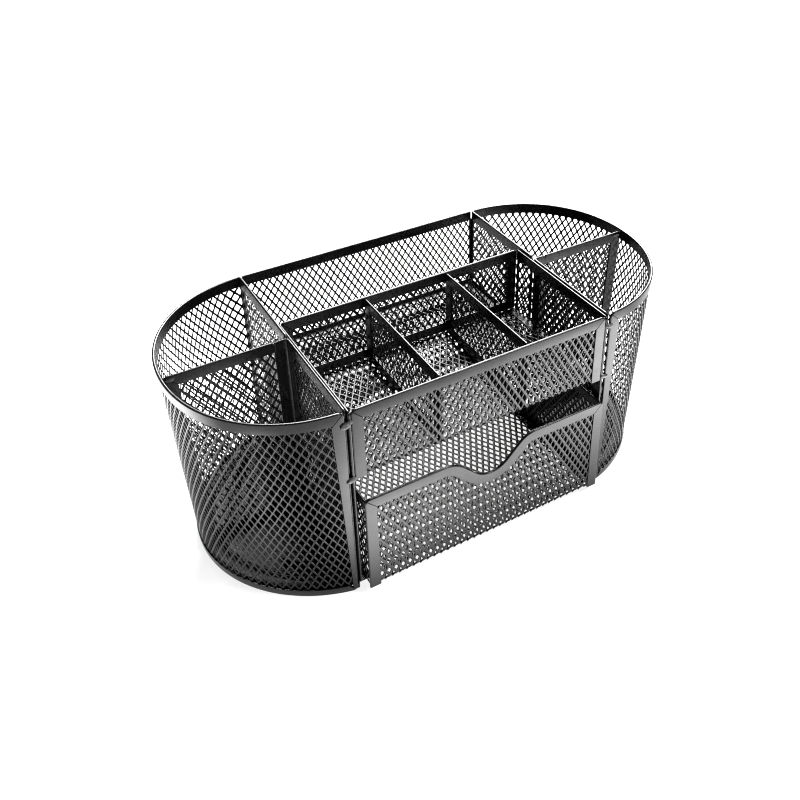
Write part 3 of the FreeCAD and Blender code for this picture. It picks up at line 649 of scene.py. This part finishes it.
# ---------------------------------------------------------------- tray
TX = WALL_X - RIM_T - INNER_T
yf = -HALF_D + RIM_T / 2
tf = Shape()
plf = xz(yf)
FRONT_TOP = TRAY_TOP + 0.4
ring(tf, plf, -TX, TX, TRAY_Z, FRONT_TOP, RIM_W, RIM_T, r=2.1, sides="tlr", wavy=0.05)
make("tray_front_folds", tf, R, EDGING_PAINTED_FILL, ["tray_front_frame"])

FOLD_R = 0.9


def tray_sheet(u, v, h):
    """One sheet: v runs down the front from its top, under the fold and back
    along the floor."""
    u, v, h = np.broadcast_arrays(np.asarray(u, float), np.asarray(v, float), np.asarray(h, float))
    drop = FRONT_TOP - (TRAY_Z + 0.5) - FOLD_R
    arc = FOLD_R * math.pi / 2
    a = np.clip((v - drop) / FOLD_R, 0, math.pi / 2)
    k = np.clip(v - drop - arc, 0, None)
    y = yf + FOLD_R - FOLD_R * np.cos(a) + k
    z = np.where(v < drop, FRONT_TOP - v, TRAY_Z + 0.5 + FOLD_R - FOLD_R * np.sin(a))
    ny, nz = -np.cos(a), -np.sin(a)
    return np.stack([u, y + ny * h, z + nz * h], -1)


tray_len = (FRONT_TOP - TRAY_Z - 0.5 - FOLD_R) + FOLD_R * math.pi / 2 + (TRAY_BACK - yf - FOLD_R) - 0.3
mesh_panel("tray_sheet_expanded", tray_sheet, -TX + 0.4, TX - 0.4, 0.7, tray_len, R, MESH, ["tray_front_mesh", "tray_floor_mesh"], pitch=TRAY_PITCH)

# flanges that lie on the tray floor along its sides
fl = Shape()
zf = TRAY_Z + 0.55
for sg in (-1, 1):
    bar(fl, lambda s, d, h: np.stack([sg * (TX - 0.1 - d), s, zf + h], -1), -HALF_D + 1.8, TRAY_BACK - 0.2, 4.5, 1.05, wavy=0.02)
make("tray_floor_side_flanges", fl, R, EDGING_PAINTED_FILL)

tr = Shape()
pltr = xz(TRAY_BACK + RIM_T / 2)
ring(tr, pltr, -TX, TX, TRAY_Z + 1, TRAY_TOP, RIM_W, RIM_T, r=1.4)
make("tray_rear_folds", tr, R, EDGING_PAINTED_FILL, ["tray_rear_frame"])
mesh_panel("tray_rear_expanded", pltr, -TX + 0.7, TX - 0.7, TRAY_Z + 1.7, TRAY_TOP - 0.7, R, MESH, ["tray_rear_mesh"])

for sg, word in ((-1, "left"), (1, "right")):
    td = Shape()
    pld = yz(sg * BAY_X)
    ring(td, pld, -HALF_D + RIM_T + 0.1, TRAY_BACK - 0.1, TRAY_Z + 1.05, TRAY_TOP - 0.2, RIM_W, INNER_T, r=1.4)
    make("tray_divider_%s_folds" % word, td, R, EDGING_PAINTED_FILL, ["tray_divider_%s_frame" % word])
    mesh_panel("tray_divider_%s_expanded" % word, pld, -HALF_D + RIM_T + 0.8, TRAY_BACK - 0.8, TRAY_Z + 1.75, TRAY_TOP - 0.9, R, MESH, ["tray_divider_%s_mesh" % word])

# ---------------------------------------------------------------- rear bin
GY0, GY1 = TRAY_BACK + RIM_T, HALF_D - RIM_T
bf = Shape()
plb = xy(BIN_Z + 0.5)
ring(bf, plb, -BX + 0.05, BX - 0.05, GY0 + 0.05, GY1 - 0.05, LID_W, 1.0, r=0.8, wavy=0.02)
make("rear_bin_floor_flange", bf, R, EDGING_PAINTED_FILL, ["rear_bin_floor_frame"])
mesh_panel("rear_bin_floor_expanded", plb, -BX + 0.7, BX - 0.7, GY0 + 0.7, GY1 - 0.7, R, MESH, ["rear_bin_floor_mesh"])
bs = Shape()
t7 = 0.7
LIP = 1.7                                            # the lip stands this high over the flange
bar(bs, lambda s, d, h: np.stack([s, GY1 - t7 / 2 + h, BIN_Z + 1 + LIP - d], -1), -BX + 0.1, BX - 0.1, LIP, t7, wavy=0.02)
for sg in (-1, 1):
    bar(bs, lambda s, d, h: np.stack([sg * (BX - t7 / 2) + h, s, BIN_Z + 1 + LIP - d], -1), GY0 + 0.1, GY1 - t7 - 0.05, LIP, t7, wavy=0.02)
make("rear_bin_standing_flanges", bs, R, EDGING_PAINTED_FILL, ["rear_bin_edge_strips"])
mesh_panel("rear_bin_front_expanded", pltr, -BX + 0.3, BX - 0.3, BIN_Z + 0.3, TRAY_Z + 1.6, R, MESH, ["rear_bin_front_mesh"])

# ---------------------------------------------------------------- drawer runners
rn = Shape()
for sg in (-1, 1):
    bar(rn, lambda s, d, h: np.stack([sg * (57.6 + d), s, BASE_Z + 0.4 + h], -1), -HALF_D + RIM_T + 0.1, HALF_D - RIM_T - 0.1, 6.4, 0.78, wavy=0.015)
make("drawer_runner_folds", rn, R, EDGING_PAINTED_FILL, ["drawer_runners"])

# ---------------------------------------------------------------- drawer
DF = -HALF_D - AJAR
ydf = DF + RIM_T / 2


def scoop_line(n=9):
    """The drawer front's top edge from left to right: points, and directions in."""
    c45 = math.sqrt(0.5)
    top, r, half, deep, hx = DRAWER_TOP, SCOOP_R, SCOOP_X, SCOOP_H, DRAWER_X
    pts, nrm = [], []

    def put(x, z, nx, nz):
        pts.append((x, z))
        nrm.append((nx, nz))

    for x in np.linspace(-hx, -half, 12):
        put(x, top, 0, -1)
    for a in np.linspace(math.pi / 2, math.pi / 4, n)[1:]:
        put(-half + r * math.cos(a), top - r + r * math.sin(a), -math.cos(a), -math.sin(a))
    tc = top - deep + r
    for a in np.linspace(-3 * math.pi / 4, -math.pi / 4, 2 * n):
        put(r * math.cos(a), tc + r * math.sin(a), math.cos(a), math.sin(a))
    for a in np.linspace(3 * math.pi / 4, math.pi / 2, n):
        put(half + r * math.cos(a), top - r + r * math.sin(a), -math.cos(a), -math.sin(a))
    for x in np.linspace(half, hx, 12)[1:]:
        put(x, top, 0, -1)
    return np.array(pts), np.array(nrm)


SCOOP_P, SCOOP_N = scoop_line()
SCOOP_S = np.concatenate([[0.0], np.cumsum(np.hypot(*np.diff(SCOOP_P, axis=0).T))])


def scoop_place(s, d, h):
    s, d, h = np.broadcast_arrays(np.asarray(s, float), np.asarray(d, float), np.asarray(h, float))
    x = np.interp(s, SCOOP_S, SCOOP_P[:, 0])
    z = np.interp(s, SCOOP_S, SCOOP_P[:, 1])
    nx = np.interp(s, SCOOP_S, SCOOP_N[:, 0])
    nz = np.interp(s, SCOOP_S, SCOOP_N[:, 1])
    n = np.hypot(nx, nz)
    return np.stack([x + nx / n * d, ydf + h, z + nz / n * d], -1)


df = Shape()
pldf = xz(ydf)
bar(df, scoop_place, 0.0, SCOOP_S[-1], RIM_W, RIM_T, ("mitre", 2.1), ("mitre", 2.1), step=1.6, wavy=0.03)
for sg in (-1, 1):
    bar(df, lambda s, d, h: pldf(sg * (DRAWER_X - d), s, h), DRAWER_LOW, DRAWER_TOP, RIM_W, RIM_T, ("cut", 0), ("mitre", 2.1))
make("drawer_front_folds", df, D, EDGING_PAINTED_FILL, ["drawer_front_frame"])


def under_scoop(x, z, gap):
    """True below the scooped top edge by at least gap."""
    px, pz = SCOOP_P[:, 0] + SCOOP_N[:, 0] * gap, SCOOP_P[:, 1] + SCOOP_N[:, 1] * gap
    return z < np.interp(x, px, pz)


DROP = DRAWER_TOP - (DRAWER_LOW + 0.45) - FOLD_R
DARC = FOLD_R * math.pi / 2
DYB = DF + DRAWER_D - INNER_T / 2
FLOOR_RUN = DYB - FOLD_R - (ydf + FOLD_R)
BACK_UP = SIDE_TOP - (DRAWER_LOW + 0.45) - FOLD_R


def drawer_sheet(u, v, h):
    """One sheet: down the front, back along the floor and up the back."""
    u, v, h = np.broadcast_arrays(np.asarray(u, float), np.asarray(v, float), np.asarray(h, float))
    zl = DRAWER_LOW + 0.45
    a = np.clip((v - DROP) / FOLD_R, 0, math.pi / 2)
    k = np.clip(v - DROP - DARC, 0, FLOOR_RUN)
    a2 = np.clip((v - DROP - DARC - FLOOR_RUN) / FOLD_R, 0, math.pi / 2)
    k2 = np.clip(v - DROP - 2 * DARC - FLOOR_RUN, 0, None)
    y = ydf + FOLD_R - FOLD_R * np.cos(a) + k + FOLD_R * np.sin(a2)
    z = np.where(v < DROP, DRAWER_TOP - v, zl + FOLD_R - FOLD_R * np.sin(a)) + FOLD_R - FOLD_R * np.cos(a2) + k2
    ny = -np.cos(a) + np.sin(a2)
    nz = -np.sin(a) * np.cos(a2)
    ny = np.where(a2 > 0, np.sin(a2), -np.cos(a))
    return np.stack([u, y + ny * h, z + nz * h], -1)


def keep_scoop(x, v):
    z = DRAWER_TOP - v
    ok = np.ones_like(x, bool)
    for dx, dz in ((0, PITCH_V / 2), (TRAY_PITCH / 2, 0), (-TRAY_PITCH / 2, 0)):
        ok &= under_scoop(x + dx, z + dz, 0.35)
    return ok


mesh_panel("drawer_sheet_expanded", drawer_sheet, -DRAWER_X + 0.7, DRAWER_X - 0.7, 0.6, DROP + 2 * DARC + FLOOR_RUN + BACK_UP - 0.6, D, MESH, ["drawer_front_mesh", "drawer_floor_mesh", "drawer_back_mesh"], keep=keep_scoop, pitch=TRAY_PITCH)

for sg, word in ((-1, "left"), (1, "right")):
    xs = sg * (DRAWER_X - INNER_T / 2)
    sr = Shape()
    bar(sr, lambda s, d, h: np.stack([xs + sg * h, s, SIDE_TOP - d], -1), DF + RIM_T, DF + DRAWER_D - 0.1, 4.16, INNER_T, ("cut", 0), ("cut", 0))
    make("drawer_%s_side_fold" % word, sr, D, EDGING_PAINTED_FILL, ["drawer_%s_side_rim" % word])

    def side_sheet(u, v, h):
        """v runs down the side from its rim and under the drawer's edge."""
        u, v, h = np.broadcast_arrays(np.asarray(u, float), np.asarray(v, float), np.asarray(h, float))
        drop = SIDE_TOP - (DRAWER_LOW + 0.45) - FOLD_R
        a = np.clip((v - drop) / FOLD_R, 0, math.pi / 2)
        k = np.clip(v - drop - FOLD_R * math.pi / 2, 0, None)
        x = DRAWER_X - INNER_T / 2 - FOLD_R + FOLD_R * np.cos(a) - k + np.cos(a) * h
        z = np.where(v < drop, SIDE_TOP - v, DRAWER_LOW + 0.45 + FOLD_R - FOLD_R * np.sin(a)) - np.sin(a) * h
        return np.stack([sg * x, u, z], -1)

    mesh_panel("drawer_%s_side_expanded" % word, side_sheet, DF + RIM_T + 0.1, DF + DRAWER_D - 0.4, 0.6, SIDE_TOP - DRAWER_LOW + 1.5, D, MESH, ["drawer_%s_side_mesh" % word])

br = Shape()
IX = DRAWER_X - INNER_T
bar(br, lambda s, d, h: np.stack([s, DYB + h, SIDE_TOP - d], -1), -IX, IX, 4.16, INNER_T)
make("drawer_back_fold", br, D, EDGING_PAINTED_FILL, ["drawer_back_rim"])


# ---------------------------------------------------------------- weld beads
def bead(shape, centre, size, tilt=0.0, seed=0, lumps=0.22):
    """A lump of weld metal under the coating."""
    bm = bmesh.new()
    bmesh.ops.create_icosphere(bm, subdivisions=4, radius=1.0)
    pts = np.array([v.co for v in bm.verts])
    faces = [tuple(v.index for v in f.verts) for f in bm.faces]
    bm.free()
    out = []
    for p in pts:
        q = Vector(p) * 1.6 + Vector((seed * 7.3, seed * 1.7, 0))
        k = 1.0 + lumps * noise.noise(q) + 0.5 * lumps * noise.noise(q * 2.3)
        out.append(p * k)
    out = np.array(out) * np.array(size)
    c, s = math.cos(tilt), math.sin(tilt)
    out = np.column_stack([out[:, 0] * c - out[:, 2] * s, out[:, 1], out[:, 0] * s + out[:, 2] * c])
    shape.add(out + np.array(centre), faces)


wb = Shape()
bead(wb, (-65.3, -58.5, 93.2), (2.5, 0.95, 1.45), 0.22, 1)
bead(wb, (-63.9, -58.5, 93.9), (1.5, 0.8, 1.1), 0.5, 2)
bead(wb, (-64.6, -58.4, 64.1), (2.3, 0.9, 1.15), 0.25, 3)
bead(wb, (65.2, -58.4, 93.4), (2.2, 0.85, 1.2), -0.2, 4)
bead(wb, (64.8, -58.4, 65.3), (2.0, 0.8, 1.0), -0.1, 5)
x_in = WALL_X + BULGE_LOW - RIM_T
for sg in (-1, 1):
    bead(wb, (sg * (x_in + 1.9), 0.0, 97.3), (2.4, 0.95, 1.0), 0.0, 6 + sg)
make("weld_bead_lumps", wb, R, BEAD_PAINTED_SHEEN, ["weld_beads"], angle=None)

# ---------------------------------------------------------------- stage
def glowing_floor(base, level, pools):
    """Pale floor, no lamp, that glows by its own emission: even, with broad soft pools of painted light.
    A pool is (x, y, half-length, half-width, strength), in metres."""
    m = bpy.data.materials.new("floor_white_painted_light_pools")
    m.use_nodes = True
    nt = m.node_tree
    p = nt.nodes["Principled BSDF"]
    p.inputs["Base Color"].default_value = (base, base, base, 1)
    p.inputs["Roughness"].default_value = 0.9
    p.inputs["Specular IOR Level"].default_value = 0.1
    p.inputs["Emission Color"].default_value = (1, 1, 1, 1)
    tc = node(nt, "ShaderNodeTexCoord")
    total = None
    for x, y, sx, sy, strength in pools:
        mp = node(nt, "ShaderNodeMapping", vector_type="TEXTURE")
        mp.inputs["Location"].default_value = (x, y, 0)
        mp.inputs["Scale"].default_value = (sx, sy, 1)
        nt.links.new(tc.outputs["Object"], mp.inputs["Vector"])
        g = node(nt, "ShaderNodeTexGradient", gradient_type="SPHERICAL")
        nt.links.new(mp.outputs["Vector"], g.inputs["Vector"])
        r = node(nt, "ShaderNodeMapRange", interpolation_type="SMOOTHSTEP")
        r.inputs["From Max"].default_value = 0.9
        r.inputs["To Min"].default_value = level if total is None else 0.0
        r.inputs["To Max"].default_value = strength + (level if total is None else 0.0)
        nt.links.new(g.outputs["Fac"], r.inputs["Value"])
        if total is None:
            total = r.outputs["Result"]
        else:
            add = node(nt, "ShaderNodeMath", operation="ADD")
            nt.links.new(total, add.inputs[0])
            nt.links.new(r.outputs["Result"], add.inputs[1])
            total = add.outputs[0]
    nt.links.new(total, p.inputs["Emission Strength"])
    m.cycles.emission_sampling = "NONE"
    return m


# pools of light painted into the floor's glow round the object, so that its front and left faces reflect a brighter
# floor near their foot
PAINTED_LIGHT_POOLS = [(0.045, -0.127, 0.20, 0.070, 5.2), (-0.05, -0.100, 0.075, 0.045, 4.0), (-0.150, -0.078, 0.06, 0.055, 6.0), (-0.230, 0.06, 0.09, 0.10, 6.0), (0.155, -0.150, 0.09, 0.085, 6.0),
         (-0.125, 0.115, 0.09, 0.07, 2.6), (0.0, 0.125, 0.16, 0.06, 0.7)]
me = bpy.data.meshes.new("studio_floor")
me.from_pydata([(-6, -6, -0.0002), (6, -6, -0.0002), (6, 6, -0.0002), (-6, 6, -0.0002)], [], [(0, 1, 2, 3)])
floor = bpy.data.objects.new("studio_floor", me)
bpy.context.scene.collection.objects.link(floor)
me.materials.append(glowing_floor(0.35, 0.72, PAINTED_LIGHT_POOLS))

scene = bpy.context.scene
world = bpy.data.worlds.new("studio")
scene.world = world
world.use_nodes = True
bg = world.node_tree.nodes["Background"]
bg.inputs["Color"].default_value = (1, 1, 1, 1)
bg.inputs["Strength"].default_value = 0.015
# a white backdrop behind a room that is otherwise unlit
wt = world.node_tree
backdrop = wt.nodes.new("ShaderNodeBackground")
backdrop.inputs["Color"].default_value = (1, 1, 1, 1)
backdrop.inputs["Strength"].default_value = 1.1
seen = wt.nodes.new("ShaderNodeLightPath")
blend = wt.nodes.new("ShaderNodeMixShader")
wt.links.new(seen.outputs["Is Camera Ray"], blend.inputs[0])
wt.links.new(bg.outputs[0], blend.inputs[1])
wt.links.new(backdrop.outputs[0], blend.inputs[2])
wt.links.new(blend.outputs[0], wt.nodes["World Output"].inputs["Surface"])
scene.view_settings.view_transform = "Standard"
scene.view_settings.look = "Medium High Contrast"
scene.cycles.filter_width = 1.1


def area(name, loc, aim, size, radiance, size_y=None, spread=180.0):
    """A softbox; radiance is its brightness as seen from in front."""
    l = bpy.data.lights.new(name, "AREA")
    l.shape = "RECTANGLE"
    l.size, l.size_y = size, size_y or size
    l.spread = math.radians(spread)
    l.energy = radiance * math.pi * l.size * l.size_y
    o = bpy.data.objects.new(name, l)
    scene.collection.objects.link(o)
    o.location = loc
    o.rotation_euler = (Vector(aim) - Vector(loc)).to_track_quat("-Z", "Y").to_euler()
    return o


area("high_softbox", (0.62, 0.82, 1.18), (0, 0, 0.05), 0.95, 32.0)
area("front_softbox", (0.57, -0.58, 1.0), (0, 0, 0.05), 0.26, 45.0)
area("back_softbox", (0.75, 1.2, 0.80), (0, 0, 0.05), 1.2, 9.0, size_y=0.4)

# ---------------------------------------------------------------- camera
# a perspective camera, from the left and above
CAM = dict(az=-31.171, el=31.115, dist=462.437, ox=17.158, oy=54.564, roll=-0.087, f=949.93, sx=56.0, sy=-131.36)


def make_camera(c):
    az, el, roll = (math.radians(c[k]) for k in ("az", "el", "roll"))
    back = Vector((math.sin(az) * math.cos(el), -math.cos(az) * math.cos(el), math.sin(el)))
    right = Vector((math.cos(az), math.sin(az), 0.0))
    up = back.cross(right)
    r2 = right * math.cos(roll) + up * math.sin(roll)
    u2 = -right * math.sin(roll) + up * math.cos(roll)
    target = Vector((0, 0, 50)) + right * c["ox"] + up * c["oy"]
    pos = target + back * c["dist"]
    pos = (pos + Vector((0, SHIFT_Y, 0))) * 0.001
    cam = bpy.data.cameras.new("camera")
    cam.sensor_width = 36.0
    cam.sensor_fit = "AUTO"
    cam.lens = c["f"] / 800.0 * 36.0
    cam.shift_x = -c["sx"] / 800.0
    cam.shift_y = c["sy"] / 800.0
    cam.clip_start, cam.clip_end = 0.01, 50.0
    o = bpy.data.objects.new("camera", cam)
    scene.collection.objects.link(o)
    m = Matrix((r2, u2, back)).transposed().to_4x4()
    m.translation = pos
    o.matrix_world = m
    return o


scene.camera = make_camera(CAM)

bpy.context.view_layer.update()
